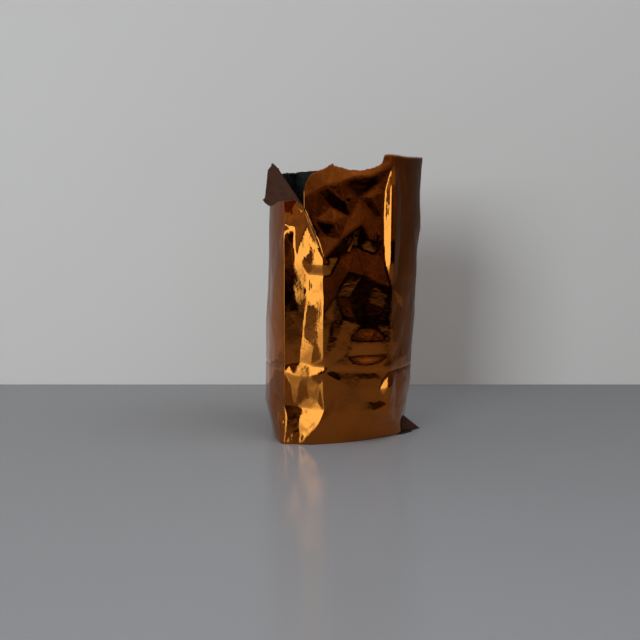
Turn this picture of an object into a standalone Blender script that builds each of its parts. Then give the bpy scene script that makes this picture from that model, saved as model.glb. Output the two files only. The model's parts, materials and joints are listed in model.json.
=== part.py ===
"""A small block-bottom bag of copper-coloured metallised laminate, standing, with a torn mouth.

The bag was cut and folded from one sheet. Its creases are living hinges, so the sheet is modelled here
as thin panels, one for each area between creases and tears. Sizes are in millimetres until a mesh is
made. X runs across the front gusset, +Y runs from the front gusset to the back one, and +Z is up.
"""
import bpy
import bmesh
from mathutils import Matrix, Vector

MM = 0.001

# ---- driving dimensions, in millimetres -------------------------------------------------------------
SHEET = 0.5             # panel thickness; it stands for a laminate of about 0.15
CORNER_GAP = 0.75       # from a corner crease to the panels on both sides of it
CREASE_GAP = 0.35       # the same at a crease between panels that lie nearly flat to each other
FOLD_LINE = 58.0        # height of the crease where the bottom was folded up against the flat bag
MOUTH = 234.0           # height of the machine-cut mouth at the back
AXIS_X, AXIS_Y = 6.87, 54.65   # middle of the finished bag, which becomes the origin

# Horizontal sections. Each has its height, then six crease points (x, y) in order round the bag, and
# how far the panel after each crease bows outwards.
#            height  front left     front ridge    front right   back right   back ridge   back left
SECTIONS = (
    (0.0,   ((-42.5, -1.5), (-20.0, -4.0), (55.0, 29.0), (40.0, 108.0), (0.0, 104.0), (-38.0, 113.0)),
     (0.0, 6.0, 12.0, 0.0, 0.0, 12.0)),
    (25.0,  ((-40.6, 0.0), (-9.6, -5.0), (39.7, 0.0), (41.0, 111.0), (0.0, 106.0), (-38.0, 117.0)),
     (0.0, 0.0, 22.5, 0.0, 0.0, 21.0)),
    (58.0,  ((-40.2, 0.0), (-9.6, -5.0), (41.0, 0.0), (42.0, 112.0), (0.0, 106.0), (-38.0, 118.0)),
     (0.0, 0.0, 24.5, 0.0, 0.0, 20.5)),
    (142.0, ((-40.0, 0.0), (-9.6, -5.0), (41.5, 0.0), (43.0, 112.0), (1.0, 104.0), (-38.0, 118.0)),
     (0.0, 0.0, 28.0, 0.0, 0.0, 17.5)),
    (182.0, ((-40.3, 2.5), (-9.6, -4.5), (41.6, 0.0), (44.0, 112.0), (2.0, 103.0), (-38.0, 118.0)),
     (0.0, 0.0, 29.5, 0.0, 0.0, 16.5)),
    (205.0, ((-40.8, 8.5), (-9.6, -4.0), (41.8, 0.5), (44.5, 112.0), (2.0, 102.0), (-38.0, 118.0)),
     (0.0, 0.0, 30.0, 0.0, 0.0, 16.0)),
    (234.0, ((-41.5, 12.0), (-9.6, -4.0), (42.2, 1.0), (45.0, 112.0), (2.0, 101.0), (-38.0, 118.0)),
     (0.0, 0.0, 30.5, 0.0, 0.0, 15.5)),
)
FRONT_LEFT, FRONT_RIGHT, RIGHT_WALL, BACK_RIGHT, BACK_LEFT, LEFT_WALL = range(6)

# The torn corner: its crease runs from the rim of the left wall to the foot of the notch.
CREASE_TOP = Vector((-45.0, 11.0, 212.0))
CREASE_FOOT = Vector((-24.8, -3.0, 180.6))
FLAP_TIP = Vector((-54.8, -7.6, 182.9))
FLAP_EDGE_GAP = 0.6     # from the crease to the flap's own edge

# The black liner and the base
LINER_SHEET = 0.4
LINER_SHRINK = 0.95     # the liner's section as a share of the bag's
LINER_FLOOR = 5.4
LINER_CENTRE = (2.0, 56.0)
FLAP_OVERLAP = 8.0      # each bottom flap passes the middle of the base by this
BASE_INSET = 0.97       # the base pieces' outline as a share of the bag's foot
CARD = 0.8
CARD_SHRINK = 0.955
BASE_GAP = 0.35         # between two layers of the base
BASE_GLUE = 0.25
BASE_GLUE_SHRINK = 0.93
GLUE_MARGIN = 3.0       # from the edge of a flap to the glue strip

# Each tuck is a triangle folded in from a gusset. A cut is a point on it and the way that is cut off.
DIAGONAL = 0.7071
FRONT_TUCK = (((0.0, 36.0), (0.0, 1.0)), ((-42.0, 0.0), (-DIAGONAL, DIAGONAL)),
              ((56.0, 26.0), (DIAGONAL, DIAGONAL)))
BACK_TUCK = (((0.0, 74.0), (0.0, -1.0)), ((-38.0, 113.0), (-DIAGONAL, -DIAGONAL)),
             ((40.0, 108.0), (DIAGONAL, -DIAGONAL)))

# The dog-ear: rows from its lower edge to its upper edge, each from the wall to the point
DOG_EAR = (((56.4, 29.4, 0.4), (65.0, 31.0, 0.4), (72.2, 43.5, 0.4)),
           ((57.6, 33.0, 3.2), (65.4, 34.5, 3.0), (71.2, 43.8, 1.4)),
           ((60.0, 39.0, 9.0), (62.8, 40.6, 8.4), (65.5, 43.4, 7.4)))

# The tube seam, as shares of the back gusset's left half
SEAM_TAB = (0.18, 0.60)
SEAM_GLUE = (0.30, 0.48)
SEAM_TAB_SHRINK = 0.976
SEAM_GLUE_SHRINK = 0.986
SEAM_GLUE_THICKNESS = 0.2
SEAM_ROWS = 8
SEAM_FOOT = 6.0         # above the fold line
SEAM_TOP = 4.0          # below the mouth

COPPER = (0.62, 0.24, 0.10)
BLACK_FILM = (0.012, 0.013, 0.012)
GLUE = (0.72, 0.62, 0.42)


def make_material(name, colour, roughness, metallic):
    """A Principled material with the piece's own colour."""
    material = bpy.data.materials.new(name)
    material.use_nodes = True
    shader = material.node_tree.nodes["Principled BSDF"]
    shader.inputs["Base Color"].default_value = (*colour, 1.0)
    shader.inputs["Roughness"].default_value = roughness
    shader.inputs["Metallic"].default_value = metallic
    material.diffuse_color = (*colour, 1.0)
    return material


def section(height):
    """The six crease points and six bows at a height, read between the two nearest sections."""
    for (z0, corners0, bows0), (z1, corners1, bows1) in zip(SECTIONS, SECTIONS[1:]):
        if height <= z1:
            break
    share = (height - z0) / (z1 - z0)
    corners = [Vector(a).lerp(Vector(b), share) for a, b in zip(corners0, corners1)]
    bows = [a + (b - a) * share for a, b in zip(bows0, bows1)]
    return corners, bows


def wall_point(side, along, height, shrink=1.0):
    """A point on the bag's outer face. along goes from 0 to 1 between the side's two creases."""
    corners, bows = section(height)
    start, end = corners[side], corners[(side + 1) % 6]
    chord = end - start
    outward = Vector((chord.y, -chord.x)).normalized()
    point = start + chord * along + outward * bows[side] * 4.0 * along * (1.0 - along)
    centre = Vector(LINER_CENTRE)
    point = centre + (point - centre) * shrink
    return Vector((point.x, point.y, height))


def side_width(side, height):
    """The straight distance between a side's two creases."""
    corners, _ = section(height)
    return (corners[(side + 1) % 6] - corners[side]).length


def to_row(point):
    """Millimetres in the bag's own layout to metres in the finished part's frame."""
    return Vector((point.x - AXIS_X, point.y - AXIS_Y, point.z)) * MM


def add_object(name, bm, material, collection):
    """Turns a bmesh into a named object with one material."""
    mesh = bpy.data.meshes.new(name)
    bm.to_mesh(mesh)
    bm.free()
    mesh.materials.append(material)
    obj = bpy.data.objects.new(name, mesh)
    collection.objects.link(obj)
    return obj


def thicken(obj, thickness, offset=-1.0):
    """Gives an open sheet its thickness. The sheet itself stays the outer face."""
    modifier = obj.modifiers.new("sheet thickness", "SOLIDIFY")
    modifier.thickness = thickness * MM
    modifier.offset = offset
    modifier.use_even_offset = True
    return obj


def loft_rows(name, rows, thickness, material, collection):
    """Skins rows of points, bottom row first and each from left to right seen from outside."""
    bm = bmesh.new()
    grid = [[bm.verts.new(to_row(point)) for point in row] for row in rows]
    for low, high in zip(grid, grid[1:]):
        for i in range(len(low) - 1):
            bm.faces.new((low[i], low[i + 1], high[i + 1], high[i]))
    return thicken(add_object(name, bm, material, collection), thickness)


def wall_panel(name, side, low, high, columns, rows, gaps, material, collection,
               shrink=1.0, thickness=SHEET):
    """A panel between a side's creases. low and high give its edges' height at each share along."""
    start_gap, end_gap = gaps
    points = []
    for row in range(rows + 1):
        line = []
        for column in range(columns + 1):
            width = side_width(side, low(0.5))
            first, last = start_gap / width, 1.0 - end_gap / width
            along = first + (last - first) * column / columns
            height = low(along) + (high(along) - low(along)) * row / rows
            line.append(wall_point(side, along, height, shrink))
        points.append(line)
    return loft_rows(name, points, thickness, material, collection)


def level(height):
    """An edge that stays at one height."""
    return lambda along: height


def edge(*stops):
    """An edge drawn through (share along, height) stops with straight lines."""
    def height_at(along):
        for (a0, z0), (a1, z1) in zip(stops, stops[1:]):
            if along <= a1:
                break
        share = min(max((along - a0) / (a1 - a0), 0.0), 1.0)
        return z0 + (z1 - z0) * share
    return height_at


def foot_outline(shrink, columns=6):
    """The bag's outline at the table, as a closed loop of points."""
    points = []
    for side in range(6):
        steps = columns if side in (FRONT_RIGHT, RIGHT_WALL, LEFT_WALL) else 1
        for step in range(steps):
            point = wall_point(side, step / steps, 0.0, shrink)
            points.append(Vector((point.x, point.y)))
    return points


def base_plate(name, bottom, thickness, cuts, material, collection, shrink=BASE_INSET):
    """A flat piece of the base: the foot outline, cut by vertical planes (point, normal to remove)."""
    bm = bmesh.new()
    face = bm.faces.new([bm.verts.new((*point, bottom + thickness)) for point in foot_outline(shrink)])
    face.normal_update()
    for (x, y), (nx, ny) in cuts:
        bmesh.ops.bisect_plane(
            bm, geom=bm.verts[:] + bm.edges[:] + bm.faces[:], dist=1e-4,
            plane_co=(x, y, 0.0), plane_no=(nx, ny, 0.0), clear_outer=True)
    for vert in bm.verts:
        vert.co = to_row(vert.co)
    bmesh.ops.recalc_face_normals(bm, faces=bm.faces[:])
    if bm.faces[:][0].normal.z < 0.0:
        bmesh.ops.reverse_faces(bm, faces=bm.faces[:])
    return thicken(add_object(name, bm, material, collection), thickness)


def build_wall_panels(copper, collection):
    """The six sides of the tube, in an upper band and a lower band."""
    names = ("front_gusset_left", "front_gusset_right", "right_wall",
             "back_gusset_right", "back_gusset_left", "left_wall")
    gaps = ((CORNER_GAP, CREASE_GAP), (CREASE_GAP, CORNER_GAP), (CORNER_GAP, CORNER_GAP),
            (CORNER_GAP, CREASE_GAP), (CREASE_GAP, CORNER_GAP), (CORNER_GAP, CORNER_GAP))
    columns = (12, 20, 12, 6, 6, 14)
    # The mouth: torn over the front gusset, machine cut over the right and the back.
    rims = {
        FRONT_LEFT: edge((0.0, 203.0), (0.50, 178.8), (0.96, 141.0), (1.0, 141.0)),
        FRONT_RIGHT: edge((0.0, 208.5), (0.15, 208.0), (0.20, 212.5), (0.25, 208.0), (0.58, 207.0),
                          (0.80, 211.0), (0.85, 218.0), (1.0, 220.0)),
        RIGHT_WALL: edge((0.0, 220.0), (0.12, 222.5), (0.45, 229.5), (1.0, 233.0)),
        BACK_RIGHT: level(MOUTH - 1.0),
        BACK_LEFT: level(MOUTH - 1.0),
        LEFT_WALL: edge((0.0, 231.0), (0.60, 222.0), (0.93, 212.0), (0.965, 210.0), (1.0, 203.0)),
    }
    for side, name in enumerate(names):
        wall_panel(f"{name}_upper", side, level(FOLD_LINE + CREASE_GAP), rims[side],
                   columns[side], 8, gaps[side], copper, collection)
        wall_panel(f"{name}_lower", side, level(0.0), level(FOLD_LINE - CREASE_GAP),
                   columns[side], 6, gaps[side], copper, collection)


def build_torn_strip(copper, collection):
    """The loose strip between the tear and the front ridge."""
    # share of the front-left side where the torn edge lies, at rising heights
    torn_edge = ((146.0, 0.945), (160.0, 0.785), (181.0, 0.54), (190.0, 0.52), (197.0, 0.57),
                 (204.5, 0.70), (208.5, 0.80))
    ridge = 1.0 - CREASE_GAP / side_width(FRONT_LEFT, FOLD_LINE)
    rows = [[wall_point(FRONT_LEFT, start + (ridge - start) * step / 3, height) for step in range(4)]
            for height, start in torn_edge]
    loft_rows("front_gusset_torn_strip", rows, SHEET, copper, collection)


def build_corner_flap(copper, collection):
    """The torn corner, a flat ragged plate whose local X axis is its crease."""
    along = (CREASE_FOOT - CREASE_TOP).normalized()
    normal = along.cross(FLAP_TIP - CREASE_FOOT).normalized()
    outward = normal.cross(along)
    # (along the crease, away from it), walked round the flap
    outline = ((38.5, FLAP_EDGE_GAP), (33.0, 2.2), (29.5, 9.5), (30.0, 15.5), (31.0, 22.0),
               (24.5, 26.0), (14.0, 20.5), (6.0, 13.5), (-3.0, 7.0), (-6.0, 1.6), (0.0, FLAP_EDGE_GAP))
    bm = bmesh.new()
    bm.faces.new([bm.verts.new((x * MM, y * MM, 0.0)) for x, y in outline])
    flap = thicken(add_object("torn_corner_flap", bm, copper, collection), SHEET, offset=0.0)
    turn = Matrix((along, outward, normal)).transposed().to_4x4()
    flap.matrix_world = Matrix.Translation(to_row(CREASE_TOP)) @ turn


def build_base(copper, glue, card, collection):
    """The folded bottom: two overlapping flaps with glue between, two tucks, and the card."""
    height = 0.0
    base_plate("right_bottom_flap", height, SHEET, (((-FLAP_OVERLAP, 0.0), (-1.0, 0.0)),),
               copper, collection)
    height += SHEET + BASE_GAP
    glue_edge = FLAP_OVERLAP - GLUE_MARGIN
    base_plate("bottom_glue_strip", height, BASE_GLUE,
               (((-glue_edge, 0.0), (-1.0, 0.0)), ((glue_edge, 0.0), (1.0, 0.0))),
               glue, collection, shrink=BASE_GLUE_SHRINK)
    height += BASE_GLUE + BASE_GAP
    base_plate("left_bottom_flap", height, SHEET, (((FLAP_OVERLAP, 0.0), (1.0, 0.0)),),
               copper, collection)
    height += SHEET + BASE_GAP
    base_plate("front_tuck", height, SHEET, FRONT_TUCK, copper, collection)
    base_plate("back_tuck", height, SHEET, BACK_TUCK, copper, collection)
    height += SHEET + BASE_GAP
    base_plate("base_card", height, CARD, (), card, collection, shrink=CARD_SHRINK)


def build_dog_ear(copper, collection):
    """The small pointed fold that stands out from the foot of the right wall."""
    rows = [[Vector(point) for point in row] for row in DOG_EAR]
    loft_rows("right_dog_ear", rows, SHEET, copper, collection)


def build_seam(copper, glue, collection):
    """The tab that closes the tube, inside the back gusset's left half, and its line of glue."""
    foot = FOLD_LINE + SEAM_FOOT
    length = MOUTH - SEAM_TOP - foot
    for name, shrink, thickness, (first, last), material in (
            ("seam_glue_line", SEAM_GLUE_SHRINK, SEAM_GLUE_THICKNESS, SEAM_GLUE, glue),
            ("tube_seam_tab", SEAM_TAB_SHRINK, SHEET, SEAM_TAB, copper)):
        rows = []
        for step in range(SEAM_ROWS + 1):
            height = foot + length * step / SEAM_ROWS
            rows.append([wall_point(BACK_LEFT, first + (last - first) * i / 2, height, shrink)
                         for i in range(3)])
        loft_rows(name, rows, thickness, material, collection)


def build_liner(film, collection):
    """The black liner: four walls and a base of its own, standing just inside the bag."""
    low = level(LINER_FLOOR)
    gaps = (CORNER_GAP, CORNER_GAP)
    tops = (("liner_front_left", FRONT_LEFT, level(132.0), 4),
            ("liner_front_right", FRONT_RIGHT, edge((0.0, 132.0), (1.0, 176.0)), 8),
            ("liner_right", RIGHT_WALL, edge((0.0, 190.0), (0.4, 222.0), (1.0, 229.0)), 12),
            ("liner_back_right", BACK_RIGHT, level(MOUTH - 3.0), 4),
            ("liner_back_left", BACK_LEFT, level(MOUTH - 3.0), 4),
            ("liner_left", LEFT_WALL, edge((0.0, 228.0), (0.6, 214.0), (1.0, 150.0)), 12))
    for name, side, top, columns in tops:
        wall_panel(name, side, low, top, columns, 8, gaps, film, collection,
                   shrink=LINER_SHRINK, thickness=LINER_SHEET)
    base_plate("liner_base", LINER_FLOOR - LINER_SHEET - 0.4, LINER_SHEET, (), film, collection,
               shrink=0.925)


def main():
    for obj in list(bpy.data.objects):
        bpy.data.objects.remove(obj, do_unlink=True)
    collection = bpy.data.collections.new("copper_block_bottom_bag")
    bpy.context.scene.collection.children.link(collection)
    copper = make_material("copper_film", COPPER, 0.12, 1.0)
    film = make_material("black_film", BLACK_FILM, 0.45, 0.0)
    card = make_material("black_card", BLACK_FILM, 0.8, 0.0)
    glue = make_material("dried_glue", GLUE, 0.4, 0.0)
    build_wall_panels(copper, collection)
    build_torn_strip(copper, collection)
    build_corner_flap(copper, collection)
    build_base(copper, glue, card, collection)
    build_dog_ear(copper, collection)
    build_seam(copper, glue, collection)
    build_liner(film, collection)


main()
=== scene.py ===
# %% [markdown]
# # A torn copper-coloured film bag
#
# The CAD frame holds the bag as flat panels between creases. Here those panels are replaced by what the
# real bag is: one thin, shiny, crumpled sheet. Mirror film shows its shape almost only through what it
# reflects, so most of the work is in the surface: where it is creased, where it is dented, and how the
# room around it is lit.

import json
from math import radians

import bpy
import bmesh
import numpy as np
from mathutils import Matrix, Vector
from mathutils.geometry import delaunay_2d_cdt


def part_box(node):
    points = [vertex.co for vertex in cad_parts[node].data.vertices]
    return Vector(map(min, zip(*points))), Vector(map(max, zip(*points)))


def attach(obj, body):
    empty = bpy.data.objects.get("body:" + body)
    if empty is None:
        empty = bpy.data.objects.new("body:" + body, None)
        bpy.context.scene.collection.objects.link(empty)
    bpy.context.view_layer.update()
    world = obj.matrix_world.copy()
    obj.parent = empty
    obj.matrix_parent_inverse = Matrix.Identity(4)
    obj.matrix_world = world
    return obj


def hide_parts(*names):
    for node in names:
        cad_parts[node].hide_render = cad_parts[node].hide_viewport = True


MM = 0.001
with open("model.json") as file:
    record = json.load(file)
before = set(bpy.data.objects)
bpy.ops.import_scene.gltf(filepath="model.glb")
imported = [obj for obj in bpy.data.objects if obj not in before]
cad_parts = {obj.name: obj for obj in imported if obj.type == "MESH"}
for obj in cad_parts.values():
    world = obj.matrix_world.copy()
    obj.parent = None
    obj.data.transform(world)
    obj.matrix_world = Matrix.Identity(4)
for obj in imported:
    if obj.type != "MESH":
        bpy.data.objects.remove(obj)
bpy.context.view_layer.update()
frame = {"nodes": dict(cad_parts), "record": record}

# %% [markdown]
# ## Places taken from the frame
#
# Every place below is in millimetres in the bag's own layout, whose zero is the front left crease. The
# CAD panels give where that crease is, how high the fold line and the mouth are, and where the torn
# corner's hinge lies, so the sheet lands exactly on the frame.

# %% Key places
FOLD = round(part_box("left_wall_lower")[1].z / MM + 0.35, 1)      # the fold line round the bag
MOUTH = round(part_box("back_gusset_left_upper")[1].z / MM, 1)     # the machine-cut mouth
hinge = frame["record"]["behaviour"]["joints"][0]
HINGE_TOP = Vector(hinge["pos_m"]) / MM
HINGE_DOWN = -Vector(hinge["axis"]).normalized()
HINGE_LENGTH = 39.9
HINGE_FOOT = HINGE_TOP + HINGE_DOWN * HINGE_LENGTH
SLIT_END = 142.0                        # how high the slit meets the front ridge
RIGHT_REACH, BACK_REACH = 73.82, 117.78  # how far the right wall and the back stand from layout zero
LAYOUT_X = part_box("right_wall_upper")[1].x / MM - RIGHT_REACH
LAYOUT_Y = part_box("back_gusset_left_upper")[1].y / MM - BACK_REACH
print("fold line", FOLD, "mouth", MOUTH, "layout zero", round(LAYOUT_X, 2), round(LAYOUT_Y, 2))

# %% [markdown]
# ## Noise, written out
#
# Crumpled film needs irregular but repeatable waves. This is ordinary gradient noise on a flat grid: a
# seeded direction at every grid corner, blended smoothly between the corners.

# %% Gradient noise
NOISE_CELLS = 64                # the pattern repeats after this many features


def noise(x, y, seed):
    """Smooth noise from about -1 to 1 at each (x, y), one feature per unit."""
    rng = np.random.default_rng(seed)
    angles = rng.uniform(0.0, 2.0 * np.pi, (NOISE_CELLS, NOISE_CELLS))
    cell_x, cell_y = np.floor(x).astype(int), np.floor(y).astype(int)
    fx, fy = x - cell_x, y - cell_y
    total = np.zeros_like(fx)
    for dx in (0, 1):
        for dy in (0, 1):
            angle = angles[(cell_x + dx) % NOISE_CELLS, (cell_y + dy) % NOISE_CELLS]
            dot = np.cos(angle) * (fx - dx) + np.sin(angle) * (fy - dy)
            wx, wy = 1.0 - np.abs(fx - dx), 1.0 - np.abs(fy - dy)
            smooth = (wx ** 3 * (wx * (wx * 6 - 15) + 10)) * (wy ** 3 * (wy * (wy * 6 - 15) + 10))
            total += dot * smooth
    return total * 1.5


def wave(places, seed):
    """Smooth noise along a line."""
    return noise(places, np.zeros_like(places), seed)


def folded(x, y, seed):
    """Noise with sharp ridges along smooth curves, the way thin film buckles."""
    return 0.45 - np.abs(noise(x, y, seed))


def smooth_step(low, high, value):
    """0 below low, 1 above high, and a smooth ramp between."""
    share = np.clip((value - low) / (high - low), 0.0, 1.0)
    return share * share * (3.0 - 2.0 * share)


print("noise sample", round(float(noise(np.array([0.3]), np.array([0.7]), 1)[0]), 3))

# %% [markdown]
# ## Shader groups shared by the materials
#
# Three effects appear in more than one finish, so each is a node group with named sockets: a fine
# diagonal emboss, small random crinkles, and smudges with dust from handling. The groups only put out
# heights and masks; each material decides what to do with them.

# %% Group helpers
def new_group(name, inputs, outputs):
    """A shader node group with the named float or vector sockets."""
    group = bpy.data.node_groups.new(name, "ShaderNodeTree")
    for socket, kind, value in inputs:
        made = group.interface.new_socket(socket, in_out="INPUT", socket_type=kind)
        if value is not None:
            made.default_value = value
    for socket in outputs:
        group.interface.new_socket(socket, in_out="OUTPUT", socket_type="NodeSocketFloat")
    start = group.nodes.new("NodeGroupInput")
    end = group.nodes.new("NodeGroupOutput")
    return group, start, end


def add_node(tree, kind, links=(), **settings):
    """Adds a node, sets its properties or input values, and links (input name, output socket) pairs."""
    node = tree.nodes.new(kind)
    for name, value in settings.items():
        if name in node.inputs.keys():
            node.inputs[name].default_value = value
        else:
            setattr(node, name, value)
    for target, source in links:
        tree.links.new(source, node.inputs[target])
    return node


def math_node(tree, operation, first, second=None):
    """A Math node; each operand is a number or an output socket."""
    node = tree.nodes.new("ShaderNodeMath")
    node.operation = operation
    for socket, operand in zip(node.inputs, (first, second)):
        if operand is None:
            continue
        if isinstance(operand, (int, float)):
            socket.default_value = operand
        else:
            tree.links.new(operand, socket)
    return node.outputs[0]



def spread(tree, value, low, high, bottom=0.0, top=1.0, kind="LINEAR"):
    """Takes a value from low..high to bottom..top, and holds it at the nearer end outside that."""
    node = add_node(tree, "ShaderNodeMapRange", [("Value", value)], interpolation_type=kind)
    for name, number in (("From Min", low), ("From Max", high), ("To Min", bottom), ("To Max", top)):
        node.inputs[name].default_value = number
    return node.outputs["Result"]


def mix_shaders(tree, factor, first, second):
    """A shader that goes from first to second as the factor rises."""
    node = tree.nodes.new("ShaderNodeMixShader")
    for socket, source in zip(node.inputs, (factor, first, second)):
        tree.links.new(source, socket)
    return node.outputs[0]


def scaled_position(group, start):
    """The group's Position divided by its Size."""
    node = add_node(group, "ShaderNodeVectorMath", [("Vector", start.outputs["Position"])],
                    operation="SCALE")
    group.links.new(math_node(group, "DIVIDE", 1.0, start.outputs["Size"]), node.inputs["Scale"])
    return node.outputs[0]


# %% Film emboss: two sets of fine diagonal lines that cross
emboss, start, end = new_group(
    "film_emboss", [("Position", "NodeSocketVector", None), ("Pitch", "NodeSocketFloat", 1.0)], ["Height"])
parts = add_node(emboss, "ShaderNodeSeparateXYZ", [("Vector", start.outputs["Position"])])
across = math_node(emboss, "ADD", parts.outputs["X"], parts.outputs["Y"])
turns = math_node(emboss, "DIVIDE", 6.2832, start.outputs["Pitch"])
lines = []
for operation in ("ADD", "SUBTRACT"):
    diagonal = math_node(emboss, operation, across, parts.outputs["Z"])
    lines.append(math_node(emboss, "SINE", math_node(emboss, "MULTIPLY", diagonal, turns)))
emboss.links.new(math_node(emboss, "MULTIPLY", *lines), end.inputs["Height"])

# %% Film crinkle: cells with sharp borders, stirred by noise
crinkle, start, end = new_group(
    "film_crinkle", [("Position", "NodeSocketVector", None), ("Size", "NodeSocketFloat", 8.0)], ["Height"])
scaled = scaled_position(crinkle, start)
stir = add_node(crinkle, "ShaderNodeTexNoise", [("Vector", scaled)], Scale=0.7, Detail=2.0)
bent = add_node(crinkle, "ShaderNodeVectorMath", operation="ADD")
crinkle.links.new(scaled, bent.inputs[0])
crinkle.links.new(stir.outputs["Color"], bent.inputs[1])
cells = add_node(crinkle, "ShaderNodeTexVoronoi", [("Vector", bent.outputs[0])], feature="F1", Scale=1.0)
waves = add_node(crinkle, "ShaderNodeTexNoise", [("Vector", scaled)], Scale=1.6, Detail=3.0)
ridges = math_node(crinkle, "ABSOLUTE", math_node(crinkle, "SUBTRACT", waves.outputs["Fac"], 0.5))
crinkle.links.new(math_node(crinkle, "ADD", math_node(crinkle, "MULTIPLY", cells.outputs["Distance"], 0.5),
                            math_node(crinkle, "MULTIPLY", ridges, 1.6)), end.inputs["Height"])

# %% Handling marks: smudges, short scratches and settled dust
marks, start, end = new_group(
    "handling_marks", [("Position", "NodeSocketVector", None), ("Size", "NodeSocketFloat", 20.0)],
    ["Smudge", "Dust"])
scaled = scaled_position(marks, start)
cloud = add_node(marks, "ShaderNodeTexNoise", [("Vector", scaled)], Scale=1.0, Detail=5.0,
                 Roughness=0.65)
specks = add_node(marks, "ShaderNodeTexNoise", [("Vector", scaled)], Scale=45.0, Detail=2.0)
marks.links.new(spread(marks, cloud.outputs["Fac"], 0.48, 0.72), end.inputs["Smudge"])
marks.links.new(spread(marks, specks.outputs["Fac"], 0.66, 0.78), end.inputs["Dust"])
print("groups:", [g.name for g in bpy.data.node_groups])

# %% [markdown]
# ## Finishes
#
# The copper film is a metal with very low roughness. Its relief comes in three sizes: the sheet's own
# mesh, the crinkles, and the emboss. The paper, the black film and the card are ordinary dull surfaces
# whose grain comes from the same groups.

# %% Material helpers
def start_material(name):
    """A node material, its Principled shader, and the surface position in millimetres."""
    material = bpy.data.materials.new(name)
    material.use_nodes = True
    tree = material.node_tree
    shader = tree.nodes["Principled BSDF"]
    place = add_node(tree, "ShaderNodeTexCoord")
    position = add_node(tree, "ShaderNodeVectorMath", [("Vector", place.outputs["Object"])],
                        operation="SCALE", Scale=1.0 / MM)
    return material, tree, shader, position.outputs[0]


def use_group(tree, group, position, **values):
    """Places a shared group in a material with its own values."""
    node = add_node(tree, "ShaderNodeGroup", node_tree=group)
    tree.links.new(position, node.inputs["Position"])
    for name, value in values.items():
        node.inputs[name].default_value = value
    return node


def set_relief(tree, shader, height):
    """Bumps the surface by a height in millimetres."""
    bump = add_node(tree, "ShaderNodeBump", [("Height", height)], Strength=1.0, Distance=MM)
    tree.links.new(bump.outputs[0], shader.inputs["Normal"])


def mix_colours(tree, mask, first, second):
    """A colour that goes from first to second as the mask rises. Both are linear RGB or sockets."""
    node = tree.nodes.new("ShaderNodeMix")
    node.data_type = "RGBA"
    tree.links.new(mask, node.inputs["Factor"])
    for socket, colour in zip((node.inputs[6], node.inputs[7]), (first, second)):
        if isinstance(colour, tuple):
            socket.default_value = (*colour, 1.0)
        else:
            tree.links.new(colour, socket)
    return node.outputs[2]


# %% Copper film, for the outside of the bag
def copper_film(name, base, crinkle_size=9.0, crinkle_height=0.07, emboss_height=0.010, roughness=0.05):
    """A glossy metal with crinkles and emboss, duller and darker where it was handled."""
    material, tree, shader, position = start_material(name)
    fine = use_group(tree, emboss, position, Pitch=1.6)
    small = use_group(tree, crinkle, position, Size=crinkle_size)
    handled = use_group(tree, marks, position, Size=26.0)
    pressed = spread(tree, handled.outputs["Smudge"], 0.0, 1.0, 0.35 * emboss_height, emboss_height)
    height = math_node(tree, "ADD", math_node(tree, "MULTIPLY", fine.outputs["Height"], pressed),
                       math_node(tree, "MULTIPLY", small.outputs["Height"], crinkle_height))
    set_relief(tree, shader, height)
    darker = tuple(0.8 * c for c in base)
    tree.links.new(mix_colours(tree, handled.outputs["Smudge"], base, darker), shader.inputs["Base Color"])
    tree.links.new(spread(tree, handled.outputs["Smudge"], 0.0, 1.0, roughness, roughness + 0.10),
                   shader.inputs["Roughness"])
    shader.inputs["Metallic"].default_value = 1.0
    return material


COPPER = (0.44, 0.125, 0.019)
film = copper_film("copper_film_outside", COPPER)
film_flat = copper_film("copper_film_folded", COPPER, crinkle_size=5.0, crinkle_height=0.05)


# %% Dull finishes: paper inside, torn edge, black film, card and glue
def dull_finish(name, light, dark, grain, grain_height, rough, slot_gloss=0.5):
    """A non-metal surface: two tones mixed by smudges, and a grain in its relief."""
    material, tree, shader, position = start_material(name)
    handled = use_group(tree, marks, position, Size=grain * 3.0)
    small = use_group(tree, crinkle, position, Size=grain)
    tone = mix_colours(tree, handled.outputs["Smudge"], light, dark)
    dusty = mix_colours(tree, handled.outputs["Dust"], tone, tuple(0.12 + 0.8 * c for c in light))
    tree.links.new(dusty, shader.inputs["Base Color"])
    tree.links.new(spread(tree, handled.outputs["Smudge"], 0.0, 1.0, rough, min(rough + 0.15, 1.0)),
                   shader.inputs["Roughness"])
    set_relief(tree, shader, math_node(tree, "MULTIPLY", small.outputs["Height"], grain_height))
    shader.inputs["Specular IOR Level"].default_value = slot_gloss
    return material


brown_paper = dull_finish("brown_inner_face", (0.047, 0.018, 0.009), (0.028, 0.010, 0.005), 2.2, 0.12,
                          0.6, 0.18)
torn_edge = dull_finish("torn_paper_edge", (0.42, 0.24, 0.15), (0.25, 0.13, 0.08), 0.7, 0.08, 0.8)
black_film = dull_finish("black_liner_film", (0.003, 0.004, 0.003), (0.008, 0.010, 0.008), 3.0, 0.5,
                         0.42, 0.22)
# the base card's black, also used for the sliver of painted shade under the dog-ear
black_card_and_shade = dull_finish("black_base_card_and_painted_shade", (0.012, 0.014, 0.012), (0.02, 0.022, 0.02), 1.2, 0.05, 0.75)
dried_glue = dull_finish("dried_glue_bead", (0.50, 0.38, 0.20), (0.38, 0.27, 0.13), 1.5, 0.2, 0.3)
print("finishes:", len(bpy.data.materials))

# %% [markdown]
# ## The sheet's base shape
#
# The bag was made from one sheet wrapped round and glued where its ends overlap, so the sheet is
# described by two numbers: how far round it a point is, in millimetres to the right of the front left
# crease, and how high it is. The table says where the six vertical creases stand at a few heights, and
# how much the panel after each of them bows out.

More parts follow.
